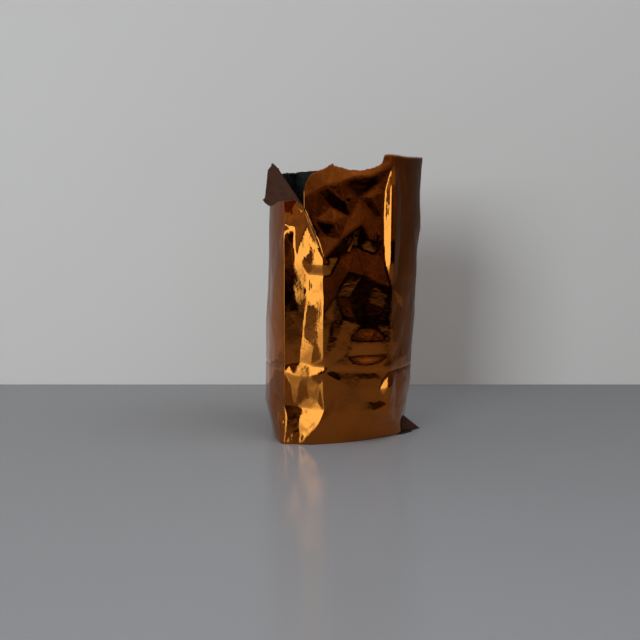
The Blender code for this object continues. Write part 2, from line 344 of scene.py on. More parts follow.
# %% Sections through the bag
HEIGHTS = (0.0, 25.0, FOLD, SLIT_END, 182.0, 205.0, 234.0)
CREASE_POINTS = (   # front left, front ridge, front right, back right, back ridge, back left
    ((-42.5, -1.5), (-20, -4), (55, 29), (40, 108), (0, 104), (-38, 113)),
    ((-40.6, 0), (-9.6, -5), (39.7, 0), (41, 111), (0, 106), (-38, 117)),
    ((-40.2, 0), (-9.6, -5), (41, 0), (42, 112), (0, 106), (-38, 118)),
    ((-40, 0), (-9.6, -5), (41.5, 0), (43, 112), (1, 104), (-38, 118)),
    ((-40.3, 2.5), (-9.6, -4.5), (41.6, 0), (44, 112), (2, 103), (-38, 118)),
    ((-40.8, 8.5), (-9.6, -4), (41.8, 0.5), (44.5, 112), (2, 102), (-38, 118)),
    ((-41.5, 12), (-9.6, -4), (42.2, 1), (45, 112), (2, 101), (-38, 118)),
)
RIDGE_BOWS = (6.0, 0.0, 0.0, 0.0, 0.0, 0.0, 0.0)
RIGHT_BOWS = (12.0, 22.5, 24.5, 28.0, 29.5, 30.0, 30.5)
LEFT_BOWS = (12.0, 21.0, 20.5, 17.5, 16.5, 16.0, 15.5)
BOWS = [(0.0, ridge, right, 0.0, 0.0, left) for ridge, right, left in zip(RIDGE_BOWS, RIGHT_BOWS, LEFT_BOWS)]
WIDTHS = np.array((31.0, 51.5, 132.0, 44.0, 40.0, 128.0))     # each side's width on the flat sheet
STARTS = np.concatenate(([0.0], np.cumsum(WIDTHS)))
AROUND = STARTS[-1]
RIDGE, FRONT_RIGHT, BACK_RIGHT, BACK_RIDGE = STARTS[1:5]
print("sheet is", AROUND, "mm round")


# %% Smooth tables of the sections, one row for each millimetre of height
def section_tables():
    """Six x, six y and six bow tables, and the heights that their rows stand for."""
    levels = np.arange(0.0, 241.0)
    columns = [[np.interp(levels, HEIGHTS, [points[k][axis] for points in CREASE_POINTS])
                for k in range(6)] for axis in (0, 1)]
    bows = [np.interp(levels, HEIGHTS, [row[k] for row in BOWS]) for k in range(6)]
    # The creases bend softly above the fold line and sharply below it.
    reach, softness = 12, 6.0
    softened = []
    for table in (*columns[0], *columns[1], *bows):
        padded = np.pad(table, reach, mode="edge")
        weights = [np.exp(-(k / softness) ** 2) for k in range(-reach, reach + 1)]
        soft = sum(weight * padded[k:k + len(levels)] for k, weight in enumerate(weights))
        soft /= sum(weights)
        blend = smooth_step(FOLD, FOLD + 14.0, levels)
        softened.append(table * (1.0 - blend) + soft * blend)
    return levels, softened[:6], softened[6:12], softened[12:]


LEVELS, TABLE_X, TABLE_Y, TABLE_BOW = section_tables()


def bag_surface(around, height, unfold=0.0):
    """Points on the bag's smooth outer face, in millimetres in the frame, for arrays of sheet places.

    unfold goes from 0 to 1 where the strip beside the tear has sprung flat with the right half."""
    around = np.mod(around, AROUND)
    side = np.clip(np.searchsorted(STARTS, around, side="right") - 1, 0, 5)
    along = (around - STARTS[side]) / WIDTHS[side]
    xs, ys, bows = (np.stack([np.interp(height, LEVELS, column) for column in table])
                    for table in (TABLE_X, TABLE_Y, TABLE_BOW))
    index = np.arange(len(side))
    following = (side + 1) % 6
    x0, y0 = xs[side, index], ys[side, index]
    dx, dy = xs[following, index] - x0, ys[following, index] - y0
    length = np.hypot(dx, dy)
    bow = bows[side, index] * 4.0 * along * (1.0 - along)
    x = x0 + dx * along + dy / length * bow
    y = y0 + dy * along - dx / length * bow
    flat_share = np.where(side == 0, unfold, 0.0)
    beyond = (around - RIDGE) / WIDTHS[1]
    x = x * (1.0 - flat_share) + (xs[1] + (xs[2] - xs[1]) * beyond) * flat_share
    y = y * (1.0 - flat_share) + (ys[1] + (ys[2] - ys[1]) * beyond) * flat_share
    return np.stack((x + LAYOUT_X, y + LAYOUT_Y, height), axis=1)


def rounded_surface(around, height, radius, unfold=0.0):
    """The same surface with its creases rounded off over the given distance."""
    total = 0.0
    weights = ((-1.0, 0.12), (-0.5, 0.24), (0.0, 0.28), (0.5, 0.24), (1.0, 0.12))
    for shift, weight in weights:
        total = total + weight * bag_surface(around + shift * radius, height, unfold)
    return total


def outward(around, height, radius, unfold=0.0):
    """Unit directions that point out of the bag."""
    step = 0.5
    right = (rounded_surface(around + step, height, radius, unfold)
             - rounded_surface(around - step, height, radius, unfold))
    up = (rounded_surface(around, height + step, radius, unfold)
          - rounded_surface(around, height - step, radius, unfold))
    direction = np.cross(right, up)
    return direction / np.linalg.norm(direction, axis=1, keepdims=True)


# %% [markdown]
# ## Creases, dents and crumple
#
# Crumpled film is a set of nearly flat facets with folds between them, and a mirror shows every change of
# slope. So the relief, which is how far the film stands out from the base shape, is drawn the way one
# would fold it: a net of points with heights, joined by triangles. In front the points are placed one by
# one, on the creases that matter. The broad walls get a loose net of random points.

# %% A net of facets
class Facets:
    """Heights over the flat sheet, straight inside each triangle of a net of (around, z, out) points.

    Each fold is a row of points whose neighbours are joined by an edge of the net."""

    def __init__(self, folds, loose=()):
        points = [point for fold in folds for point in fold] + list(loose)
        edges, first = [], 0
        for fold in folds:
            edges += [(first + k, first + k + 1) for k in range(len(fold) - 1)]
            first += len(fold)
        flat = [Vector((point[0], point[1])) for point in points]
        found = delaunay_2d_cdt(flat, edges, [], 0, 1e-3)
        corners, sources = found[0], found[3]
        out = [points[source[0]][2] if source else 0.0 for source in sources]
        self.crossings = sum(1 for source in sources if not source)
        self.triangles = [[(corners[i].x, corners[i].y, out[i]) for i in face] for face in found[2]]

    def at(self, x, z):
        """The height at each place, and 0 outside the net."""
        result = np.zeros_like(x)
        for (x0, z0, h0), (x1, z1, h1), (x2, z2, h2) in self.triangles:
            near = np.nonzero((x >= min(x0, x1, x2)) & (x <= max(x0, x1, x2))
                              & (z >= min(z0, z1, z2)) & (z <= max(z0, z1, z2)))[0]
            if not len(near):
                continue
            area = (x1 - x0) * (z2 - z0) - (x2 - x0) * (z1 - z0)
            px, pz = x[near] - x0, z[near] - z0
            u = (px * (z2 - z0) - (x2 - x0) * pz) / area
            v = ((x1 - x0) * pz - px * (z1 - z0)) / area
            inside = (u >= -1e-6) & (v >= -1e-6) & (u + v <= 1.0 + 1e-6)
            result[near[inside]] = (h0 + u * (h1 - h0) + v * (h2 - h0))[inside]
        return result

    def rounded(self, x, z, radius):
        """The same heights with every fold rounded over the given radius."""
        ring = [(0.0, 0.0, 0.28)] + [(np.cos(k * np.pi / 4) * radius, np.sin(k * np.pi / 4) * radius, 0.09)
                                     for k in range(8)]
        return sum(weight * self.at(x + dx, z + dz) for dx, dz, weight in ring)


def loose_points(low, high, spacing, height, seed):
    """Random net points over a region, about spacing apart."""
    rng = np.random.default_rng(seed)
    points = []
    for x in np.arange(low[0], high[0], spacing[0]):
        for z in np.arange(low[1], high[1], spacing[1]):
            dx, dz = rng.uniform(-0.35, 0.35, 2) * spacing
            points.append((float(x + dx), float(z + dz), float(rng.uniform(-height, height))))
    return points


# %% The ridge that both nets share, and the net left of it
RIDGE_FOLD = ((31, -3, 0.2), (31, 15, 0.9), (31, 26, -0.4), (31, 55.5, 0.3), (31, 59.5, -0.6),
              (31, 66, 1.2), (31, 100, 1.5), (31, 116, 0.6), (31, 129, 0.1), (31, 136.5, 2.6),
              (31, 142, 2.2))
LEFT_FOLDS = (
    RIDGE_FOLD,
    # down the front left crease
    ((0, -3, 0), (0, 15, 0.2), (0, 30, -0.8), (0, 37, -0.3), (0, 56, 0),
     (0, 60.5, -0.4), (0, 68, 0), (0, 100, 0), (0, 142, 0.2), (0, 152, 0.7),
     (0, 160, 0.9), (0, 169.5, -0.9), (0, 190, -0.6), (0, 240, 0)),
    # the block bottom: a dark facet that faces down, and a bright triangle that faces up and left
    ((0, 30, -0.8), (7, 25, -1.3), (13, 19.5, -1.3), (17.2, 9, -0.4), (19, -3, 0.2)),
    ((31, 15, 0.9), (22.5, 4, 0.7), (19, -3, 0.2)),
    ((0, 30, -0.8), (8, 28.4, -2.4), (20, 27.2, -1.8), (31, 26, -0.4)),
    # the fold line, and the band under it that catches the light
    ((0, 60.5, -0.4), (4, 61.2, -0.9), (10, 60.8, -1.3), (20, 60, -1.2), (31, 59.5, -0.6)),
    ((0, 56, 0), (8, 53.5, 0.4), (20, 52.5, 0.6), (27.5, 54.5, 0.5), (31, 55.5, 0.3)),
    # a soft valley left of the ridge
    ((12, 64.5, -1.5), (14.5, 85, -1.6), (16.3, 102, -1.5), (18, 114, -0.9), (18.5, 130, -0.9)),
    # the buckle at the end of the tear
    ((8.9, 144.5, -1), (22, 147, 0.9), (31, 142, 2.2)),
    ((8.9, 144.5, -1), (12.4, 139.8, -0.6), (20.1, 137, 1), (26, 136.2, 2), (31, 136.5, 2.6)),
    # facets under the torn corner
    ((0, 169.5, -0.9), (9, 164.5, 0.3), (18.6, 167.5, 2.9)),
    ((18.6, 167.5, 2.9), (8.9, 144.5, -1)),
    ((9, 164.5, 0.3), (8.9, 144.5, -1)),
)
LEFT_POINTS = (
    (40, -3, 0), (41, 24.5, 0), (38, 57, -0.2), (38, 66, 0.4), (38, 100, 0.4), (38, 142, 0), (38, 240, 0),
    (9, 10, -0.1), (5, 20, -0.4), (24, 19, -0.1), (16, 24, -1.3), (3.5, 37.5, -0.9), (6, 38.5, -1.4),
    (10.5, 41.5, -0.5), (18, 44, -0.6), (19.5, 36, -1.8), (23, 40, -0.7), (26, 33, -1.6),
    (27.5, 46, -0.1), (12, 48, 0.1), (5, 46, -0.6), (5, 74, -0.6), (6, 97, -0.8), (6, 122, -0.7),
    (7, 135, -0.8), (11, 130, -1), (10, 75, -1.2), (11, 102, -1.1), (22, 75, -0.3), (24, 92, 0.3),
    (24, 120, 0.15), (21, 106, -0.6), (6, 152, -0.5), (25, 148.5, 1.5), (24, 156, 2.2), (12, 176, 2.2),
    (9, 186, 1), (18, 177, 3.7), (14, 190, 1.9),
)
left_loose = loose_points((-168.0, -4.0), (-8.0, 245.0), (19.0, 25.0), 0.85, 71)
left_net = Facets(LEFT_FOLDS, LEFT_POINTS + tuple(left_loose))
print("left net:", len(left_net.triangles), "facets,", left_net.crossings, "folds cross")

# %% The net right of the ridge
RIGHT_FOLDS = (
    RIDGE_FOLD,
    # the rolled-back rim: its edge, and the crease that bounds it
    ((12, 183, 0), (16, 187, 0.4), (25.6, 191.5, 0.8), (32.6, 195, 0.9), (43.5, 198.5, 1),
     (54.5, 202.6, 1), (67.7, 203.6, 0.8), (77, 209, 0.6), (82.5, 213, 0.8)),
    # the fold line
    ((31, 59.5, -0.6), (35, 60.4, 0.3), (52, 59.4, 0.3), (64, 58.6, 0.4), (76, 59, 0.4),
     (82.5, 59.5, 0.8)),
    ((31, 55.5, 0.3), (38, 56.8, -0.5), (55, 56, -0.5), (70, 55.4, -0.5), (82.5, 56, 0.6)),
    # the block bottom
    ((31, 26, -0.4), (38, 25, 0.5), (41, 23.5, 0.1)),
    ((38, 25, 0.5), (31, 15, 0.9)),
    # the pinched edge along the front right crease, and its small twin below the fold
    ((82.5, -3, 0), (82.5, 15, 0.2), (81.5, 31, 1.2), (82, 44, 2.8), (82.5, 56, 0.6),
     (82.5, 59.5, 0.8), (82.5, 66, 0.4), (82.5, 90, 0.4), (82.5, 120, 0.6), (82.5, 140, 2.4),
     (82.5, 155, 3.1), (82.5, 176, 3.3), (82.5, 196, 3.1), (82.5, 213, 0.8), (82.5, 240, 0.3)),
    ((81, 207, 0.3), (76.8, 191, -0.1), (76, 172, -0.2), (76.3, 155, -0.1), (77.6, 136, 0),
     (81.5, 124, 0.4)),
    ((82.5, 56, 0.6), (77.8, 50, 0), (73.8, 41.5, -0.2), (81.5, 31, 1.2)),
    ((90, 205, 0.3), (91.5, 190, 0.2), (91, 172, 0.1), (91.5, 150, 0), (89, 128, 0.2)),
    ((81.5, 31, 1.2), (92, 36, -0.4), (104, 43, 0.8), (113, 46, 0)),
    ((82.5, 59.5, 0.8), (91, 63, 0.4), (98, 65, 0.7), (108, 67, 0.5)),
)
RIGHT_POINTS = (
    (36, 139, 0.9), (12, 130, 0), (12, 176, 0), (12, 215, -1.2), (12, 240, -1.2), (60, 240, -1.5),
    (14, 196, -0.8), (18.5, 205, -1.3), (25, 210, -1.8), (37, 213, -2.1), (50, 213, -1.9),
    (62, 213, -1.6), (71, 215, -1.2), (78, 224, -0.6),
    # the dark hollow under the rim and the swirls below
    (16, 172, 0), (24, 170, 0.4), (36, 180, -0.7), (46, 184, 0.6), (58, 187, -0.8), (68, 187, 0.4),
    (72, 197, -0.3), (39, 168, 0.9), (50, 173, -0.8), (60, 168, 1), (69, 173, -0.6), (33, 158, -0.4),
    (44, 156, 1), (56, 150, -0.9), (66, 156, 0.6), (70, 145, -0.5), (26, 158, 0.1), (43, 141, 0.2),
    (36, 130, 0), (50, 132, 0.7), (62, 129, -0.5), (71, 124, 0.2), (40, 113, 0.5), (50, 112, -0.5),
    (66, 108, -0.6), (76, 104, -0.3), (37, 95, 0), (46, 96, 0.5), (58, 92, -0.4), (72, 92, -0.2),
    (40, 75, 0.3), (48, 70, 0), (45, 48, 0), (60, 50, 0), (69, 51, 0), (40, 38, 0.1), (55, 42, 0.2),
    (66, 43, 0), (45, 12, 0), (52, 31, 0.5), (57, 21, -0.5), (63, 33, -0.4), (68, 24, 0.6),
    (75, 33, -0.3), (66, 12, 0.2), (76, 15, -0.4), (45, -3, 0), (60, -3, 0), (75, -3, 0), (95, 230, 0),
    (99, 200, 0.5), (98, 172, -0.4), (101, 150, 0.4), (91, 108, -0.4), (98, 112, 0.6), (105, 98, -0.4),
    (93, 86, 0.5), (100, 78, -0.3), (91, 56, -0.5), (100, 55, -0.4), (92, 24, -0.3), (98, 18, 0.4),
    (104, 10, -0.3), (92, -3, 0), (104, 30, -0.3),
)
right_loose = loose_points((119.0, -4.0), (294.0, 245.0), (18.0, 24.0), 0.95, 72)
right_net = Facets(RIGHT_FOLDS, RIGHT_POINTS + tuple(right_loose))
print("right net:", len(right_net.triangles), "facets,", right_net.crossings, "folds cross")

# %% Relief of the whole sheet
FOLD_AT = ((-160, 58), (-40, 58.5), (0, 59.6), (31, 57.6), (82.5, 56.2), (120, 57),
           (160, 58), (280, 58))
DENTS = (           # (middle), (radii), depth, tilt
    ((64.8, 68.5), (15, 6.6), -1.9, 3),        # the lens over the fold line
    ((65, 78.5), (14, 9.5), 1.3, 0),
    ((50.5, 152), (1.6, 7), 0.7, -8),           # small glints
    ((49.5, 187), (1.8, 1.4), 0.5, 0),
    ((31.5, 178), (1.3, 1.3), 0.5, 0),
    ((72, 160), (1.2, 4), 0.5, 0),
    ((-4, 17), (4.5, 6), 1.4, 20),
)


def dish(x, z, middle, radii, depth, tilt=0.0):
    """A smooth oval dent or bump."""
    cosine, sine = np.cos(radians(tilt)), np.sin(radians(tilt))
    px, pz = x - middle[0], z - middle[1]
    u = (px * cosine + pz * sine) / radii[0]
    v = (-px * sine + pz * cosine) / radii[1]
    return depth * np.clip(1.0 - u * u - v * v, 0.0, 1.0) ** 1.5


def relief(around, height, net):
    """How far the film stands out from the base shape, in millimetres."""
    out = net.rounded(around, height, 0.7)
    for middle, radii, depth, tilt in DENTS:
        out += dish(around, height, middle, radii, depth, tilt)
    front = smooth_step(-6.0, 2.0, around) * (1.0 - smooth_step(80.0, 90.0, around))
    fold_at = np.interp(around, *zip(*FOLD_AT))
    foot = 1.0 - smooth_step(20.0, 60.0, height)
    tear = np.exp(-((around - 18.0) / 12.0) ** 2 - ((height - 146.0) / 12.0) ** 2)
    out += 0.5 * noise(around / 46.0, height / 70.0, 3) * (1.0 - 0.6 * front)
    back = smooth_step(118.0, 140.0, around) + 1.0 - smooth_step(-134.0, -112.0, around)
    buckled = 0.10 + 0.22 * foot + 0.14 * (1.0 - front) + 0.22 * back
    out += buckled * folded(around / 13.0, height / 19.0 + 5.0, 7)
    out += 0.7 * back * noise(around / 30.0, height / 34.0, 19)
    out += (0.03 + 0.10 * foot + 0.12 * tear) * folded(around / 5.5, height / 6.5, 11)
    # round the back and the walls the fold line is a shallow step with a sharp ridge
    out -= 0.6 * (1.0 - front) * np.clip(1.0 - np.abs(height - fold_at) / 2.0, 0.0, 1.0)
    return out


print("relief at the fold:", relief(np.array([15.0]), np.array([59.0]), left_net).round(2))

# %% [markdown]
# ## The outline of the torn sheet
#
# The mouth was cut by a machine with a fine zigzag blade; that edge is left at the back and on the right.
# In front it is torn. From the foot of the notch a slit runs down to the front ridge. Three grids that
# share their edge at the ridge make one sheet with that slit in it.

# %% Top edges, as (place round the sheet, height)
HINGE_START = -4.3                                  # where the fold of the torn corner meets the left rim
HINGE_END = 15.6                                    # the foot of the notch
TOP_LEFT = ((-160, 232), (-128, 231), (-80, 224.5), (-50, 221), (-20, 215),
            (HINGE_START, HINGE_TOP.z), (HINGE_END, HINGE_FOOT.z), (RIDGE, SLIT_END))
TOP_STRIP = ((HINGE_END, 188), (16.3, 193), (17.5, 197.5), (19.5, 201.5), (22, 204.5), (25, 205.8),
             (28, 207.4), (RIDGE, 208.6))
TOP_RIGHT = ((RIDGE, 208.6), (34, 210.4), (36.6, 211.8), (37.8, 214.4), (38.4, 210.8), (44, 209.8),
             (50, 207.8), (58, 207.4), (66, 209), (72, 211.5), (74.6, 213), (75.4, 216),
             (76.6, 219.6), (78, 220.4), (FRONT_RIGHT, 220.2),
             (96, 221.6), (140, 229.5), (BACK_RIGHT, 232.8), (BACK_RIDGE, 232.6), (280, 232.4))
SEAM_START, SEAM_END = -156.0, 276.5                # the sheet's two edges, glued over each other
TOOTH_COLUMNS = 273                                 # two columns of the right grid make one tooth
TOOTH = 2.0 * (SEAM_END - RIDGE) / TOOTH_COLUMNS
TOOTH_DEPTH = 1.1
TORN_FROM, TORN_TO = -70.0, 77.5                    # the machine cut is left outside these places


def ragged(around, height):
    """Torn fibres along a ripped edge."""
    return height + 0.7 * wave(around / 2.6, 21) + 0.5 * wave(around / 0.9, 22)


def zigzag(around, height):
    """The teeth of the machine cut."""
    phase = np.mod((around - RIDGE) / TOOTH, 1.0)
    return height - TOOTH_DEPTH * np.abs(2.0 * phase - 1.0) + 0.3 * wave(around / 7.0, 23)


def edge_height(around, stops):
    """The height of an edge given by its stops, at each place round the sheet."""
    return np.interp(around, *zip(*stops))


def spaced(start, end, step, creases=()):
    """Places from start to end, about a step apart, closer together beside each crease."""
    places = list(np.linspace(start, end, max(2, round((end - start) / step) + 1)))
    for crease in creases:
        places += [crease + offset for offset in (-0.9, -0.4, 0.0, 0.4, 0.9)
                   if start < crease + offset < end]
    places = np.unique(np.round(places, 3))
    keep = np.concatenate(([True], np.diff(places) > 0.2))
    return places[keep]


# %% Rows: shares of the height, closer together at the fold line
FOLD_ROW = 58.0                 # the row that lies on the fold line
LOW_ROWS = np.concatenate((spaced(0.0, FOLD_ROW, 1.4), spaced(FOLD_ROW, SLIT_END, 1.5)[1:]))
LOW_ROWS = np.unique(np.concatenate((LOW_ROWS, (57.3, 57.7, 58.3, 58.7))))
HIGH_ROWS = np.linspace(0.0, 1.0, 50)
print("rows:", len(LOW_ROWS), "+", len(HIGH_ROWS))


def low_heights(around, top):
    """Heights of the low rows in each column: the fold line stays at its place, the last row at top."""
    fold_at = np.interp(around, *zip(*FOLD_AT))
    rows = LOW_ROWS[:, None]
    below = rows / FOLD_ROW * fold_at
    above = fold_at + (rows - FOLD_ROW) / (SLIT_END - FOLD_ROW) * (top - fold_at)
    return np.where(rows <= FOLD_ROW, below, above)


# %% Joining the grids
def quads(numbers):
    """The faces between neighbouring rows and columns of a grid of vertex numbers."""
    corners = (numbers[:-1, :-1], numbers[:-1, 1:], numbers[1:, 1:], numbers[1:, :-1])
    return np.stack(corners, axis=-1).reshape(-1, 4)


class Sheet:
    """Collects grids of vertices that may share columns of one mesh."""

    def __init__(self):
        self.around, self.height, self.count = [], [], 0

    def add(self, around, height):
        """Adds a grid and returns its vertex numbers in the same shape."""
        size = around.size
        numbers = np.arange(self.count, self.count + size).reshape(around.shape)
        self.around.append(around.ravel())
        self.height.append(height.ravel())
        self.count += size
        return numbers


def grid_of(columns, heights):
    """The place round the sheet and the height of every vertex of a grid."""
    return np.broadcast_to(columns, heights.shape), heights


sheet = Sheet()
left_columns = spaced(SEAM_START, RIDGE, 1.0, (-128.0, 0.0))[:-1]
strip_columns = spaced(HINGE_END, RIDGE, 0.8)[:-1]
right_columns = np.linspace(RIDGE, SEAM_END, TOOTH_COLUMNS + 1)

top = edge_height(right_columns, TOP_RIGHT)
top = np.where(right_columns < TORN_TO, ragged(right_columns, top), zigzag(right_columns, top))
middle = np.full_like(right_columns, SLIT_END)
low = low_heights(right_columns, middle)
high = middle + HIGH_ROWS[1:, None] * (top - middle)
right_numbers = sheet.add(*grid_of(right_columns, np.concatenate((low, high))))
ridge_numbers = right_numbers[:, :1]

top = edge_height(left_columns, TOP_LEFT)
top = np.where(left_columns < TORN_FROM, zigzag(left_columns, top), top)
loose = (left_columns > TORN_FROM) & (left_columns < HINGE_START - 1.0)
top = np.where(loose, ragged(left_columns, top), top)
left_numbers = sheet.add(*grid_of(left_columns, low_heights(left_columns, top)))
left_numbers = np.concatenate((left_numbers, ridge_numbers[:len(LOW_ROWS)]), axis=1)

slit = edge_height(strip_columns, TOP_LEFT)
top = ragged(strip_columns, edge_height(strip_columns, TOP_STRIP))
strip_numbers = sheet.add(*grid_of(strip_columns, slit + HIGH_ROWS[:, None] * (top - slit)))
strip_numbers = np.concatenate((strip_numbers, ridge_numbers[len(LOW_ROWS) - 1:]), axis=1)
sheet_faces = np.concatenate([quads(numbers) for numbers in (right_numbers, left_numbers, strip_numbers)])
print("sheet vertices:", sheet.count)


# %% [markdown]
# ## Shaping the sheet
#
# Each vertex goes to its place on the base shape, then out by the relief. Three edges get special care:
# the fold of the torn corner is pulled onto the hinge line so that the flap meets it at every angle, the
# two sides of the slit curl apart, and the glued end of the sheet lies on top of its start.

# %% Vertex positions
FILM, LINER_FILM, EAR_FILM, GLUE_LAYER = 0.22, 0.12, 0.1, 0.18      # thicknesses in millimetres


def shape_sheet(around, height, right_grid, in_strip):
    """right_grid and in_strip say which vertices belong to the right grid and to the strip."""
    sprung = smooth_step(SLIT_END, SLIT_END + 24.0, height) * (right_grid | in_strip)
    block_corner = np.exp(-(np.minimum(around, 0.0) / 9.0) ** 2)
    block_corner *= np.exp(-(np.maximum(around, 0.0) / 6.0) ** 2)
    corner_radius = 0.25 + 4.5 * block_corner * (1.0 - smooth_step(16.0, 31.0, height)) * ~right_grid
    place = rounded_surface(around, height, corner_radius, sprung)
    normal = outward(around, height, corner_radius, sprung)
    out = np.where(right_grid | in_strip, relief(around, height, right_net),
                   relief(around, height, left_net))

    # toward the hinge line, relief fades and the edge lies on the line
    share = np.clip((around - HINGE_START) / (HINGE_END - HINGE_START), 0.0, 1.0)
    line_height = HINGE_TOP.z + share * (HINGE_FOOT.z - HINGE_TOP.z)
    beside = smooth_step(HINGE_START - 8.0, HINGE_START, around)
    beside *= 1.0 - smooth_step(HINGE_END, 20.0, around)
    left_grid = ~(right_grid | in_strip)
    pull = beside * smooth_step(9.0, 0.0, line_height - height) * left_grid
    line = np.array(HINGE_TOP) + share[:, None] * np.array(HINGE_FOOT - HINGE_TOP)
    edge = rounded_surface(around, line_height, corner_radius)
    out *= 1.0 - pull
    place = place + pull[:, None] * (line - edge)

    # the slit: its left side curls out
    slit_height = np.interp(around, (HINGE_END, RIDGE), (HINGE_FOOT.z, SLIT_END))
    slit_gap = np.abs(height - slit_height) * 0.37
    on_slit = smooth_step(13.0, 17.0, around) * (1.0 - smooth_step(RIDGE - 5.0, RIDGE, around))
    curl = on_slit * np.clip(1.0 - slit_gap / 3.0, 0.0, 1.0) ** 2
    out += np.where(in_strip, -0.4, 0.5 * (1.0 - pull)) * curl * (left_grid | in_strip)

    # the overlap of the seam, and the foot, which stays on the table and inside the frame
    out += 0.7 * smooth_step(AROUND + SEAM_START - 4.0, AROUND + SEAM_START - 1.0, around)
    out *= smooth_step(0.0, 2.5, height)
    place = place + normal * out[:, None]
    place[:, 2] = np.maximum(place[:, 2], 0.05)
    return place


def new_object(name, data):
    """An object in the scene for a mesh, a lamp or a camera."""
    made = bpy.data.objects.new(name, data)
    bpy.context.scene.collection.objects.link(made)
    return made


def mesh_piece(name, points_mm, faces, materials, body):
    """An object from points in millimetres, smooth shaded, riding on a body."""
    mesh = bpy.data.meshes.new(name)
    mesh.from_pydata((points_mm * MM).tolist(), [], faces.tolist() if hasattr(faces, "tolist") else faces)
    for material in materials:
        mesh.materials.append(material)
    mesh.shade_smooth()
    piece = new_object(name, mesh)
    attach(piece, body)
    return piece


def thicken(piece, thickness, offset=-1.0, sides=(1, 2)):
    """Gives a sheet its real thickness, with its second and third finish inside and on the cut edge."""
    solid = piece.modifiers.new("film thickness", "SOLIDIFY")
    solid.thickness = thickness * MM
    solid.offset = offset
    solid.material_offset, solid.material_offset_rim = sides
    return solid


around = np.concatenate(sheet.around)
height = np.concatenate(sheet.height)
order = np.arange(sheet.count)
skin_points = shape_sheet(around, height, order < right_numbers.size, order >= strip_numbers[0, 0])
bag_skin = mesh_piece("bag_skin", skin_points, sheet_faces,
                      (film, brown_paper, torn_edge), "root")
thicken(bag_skin, FILM)
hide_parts("front_gusset_left_upper", "front_gusset_left_lower", "front_gusset_torn_strip",
            "front_gusset_right_upper", "front_gusset_right_lower", "right_wall_upper", "right_wall_lower",
            "back_gusset_right_upper", "back_gusset_right_lower", "back_gusset_left_upper",
            "back_gusset_left_lower", "left_wall_upper", "left_wall_lower", "tube_seam_tab")
print("bag skin faces:", len(bag_skin.data.polygons))

# %% [markdown]
# ## The torn corner
#
# The corner hangs from its fold with its brown inner side outwards. Its outline is drawn flat, with the
# fold along one edge, then cut into a fine grid so that it can curl. It rides on the flap's own body.

# %% The flap
FLAP_OUTLINE = (    # (distance down the fold, distance from it)
    (HINGE_LENGTH, 0), (35.8, 1.8), (32, 3.1), (31.5, 7.1), (29.7, 11.3), (29.2, 16.2), (30.6, 19.9),
    (31.5, 22.5), (30.5, 25.3), (27.3, 26.3), (24.5, 26.6), (22.6, 23.6), (14.5, 18.3), (7.1, 13.5),
    (-1.4, 8.1), (-4.2, 3.4), (-6, 2.5), (-5.6, 1.6), (-6.2, 0.9), (-4.4, 0.9), (-2.6, 0.4), (0, 0))


def ragged_outline(corners, step, size, seed):
    """The outline with points every step, moved a little in and out except along the fold."""
    points = []
    for (x0, y0), (x1, y1) in zip(corners, corners[1:]):
        steps = max(1, round(np.hypot(x1 - x0, y1 - y0) / step))
        points += [(x0 + (x1 - x0) * k / steps, y0 + (y1 - y0) * k / steps) for k in range(steps)]
    points = np.array(points + [corners[-1]])
    wobble = wave(np.arange(len(points)) * 0.45, seed) * size
    wobble[points[:, 1] < 0.05] = 0.0
    points[:, 1] += np.where(points[:, 1] > 2.0, wobble, wobble * points[:, 1] / 2.0)
    return points


def cut_grid(outline, step):
    """A flat piece with that outline, cut into a grid of small faces."""
    bm = bmesh.new()
    bm.faces.new([bm.verts.new((x, y, 0.0)) for x, y in outline])
    low, high = outline.min(axis=0), outline.max(axis=0)
    for axis in (0, 1):
        for place in np.arange(low[axis] + step, high[axis], step):
            point, normal = [0.0, 0.0, 0.0], [0.0, 0.0, 0.0]
            point[axis], normal[axis] = place, 1.0
            bmesh.ops.bisect_plane(bm, geom=bm.verts[:] + bm.edges[:] + bm.faces[:], plane_co=point,
                                   plane_no=normal, dist=1e-4)
    bmesh.ops.triangulate(bm, faces=[f for f in bm.faces if len(f.verts) > 4])
    points = np.array([v.co for v in bm.verts])
    faces = [[v.index for v in f.verts] for f in bm.faces]
    bm.free()
    return points, faces


flat, flap_faces = cut_grid(ragged_outline(FLAP_OUTLINE, 0.9, 0.35, 31), 1.1)
down, away = flat[:, 0], flat[:, 1]
FLAP_NET = Facets((((-8, -1, 0), (42, -1, 0)),),
                  ((-8, 10, -0.6), (4, 6, 0.5), (12, 9, -0.3), (22, 8, 0.6), (29, 9, 0), (9, 18, 0.8),
                   (18, 17, -0.4), (26, 19, 0.5), (36, 12, 0.8), (36, 26, 2.2), (24, 30, 2.8), (10, 30, 2)))
curl = 1.2 * (away / 26.0) ** 2 + FLAP_NET.rounded(down, away, 1.2) * np.clip(away / 3.0, 0, 1)
curl += 0.2 * folded(down / 5.0, away / 5.0, 35) * np.clip(away / 4.0, 0, 1)
hanging = Vector((-0.845, -0.36, -0.395))                 # the way the torn corner hangs from its fold
flap_side = HINGE_DOWN.cross(hanging).normalized()        # from the fold into the bag
flap_away = flap_side.cross(HINGE_DOWN).normalized()
flap_points = (np.array(HINGE_TOP) + down[:, None] * np.array(HINGE_DOWN)
               + away[:, None] * np.array(flap_away) - curl[:, None] * np.array(flap_side))
corner_flap = mesh_piece("corner_flap_film", flap_points, [f[::-1] for f in flap_faces],
                         (brown_paper, film_flat, torn_edge), "corner_flap")
thicken(corner_flap, FILM, 0.0)
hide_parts("torn_corner_flap")
print("flap faces:", len(flap_faces))

# %% [markdown]
# ## The black liner
#
# Inside stands a loose bag of black film. Only its back and left parts can be seen, over the torn corner,
# but from above the whole of it shows, so it goes all the way round with its own, coarser crumple.

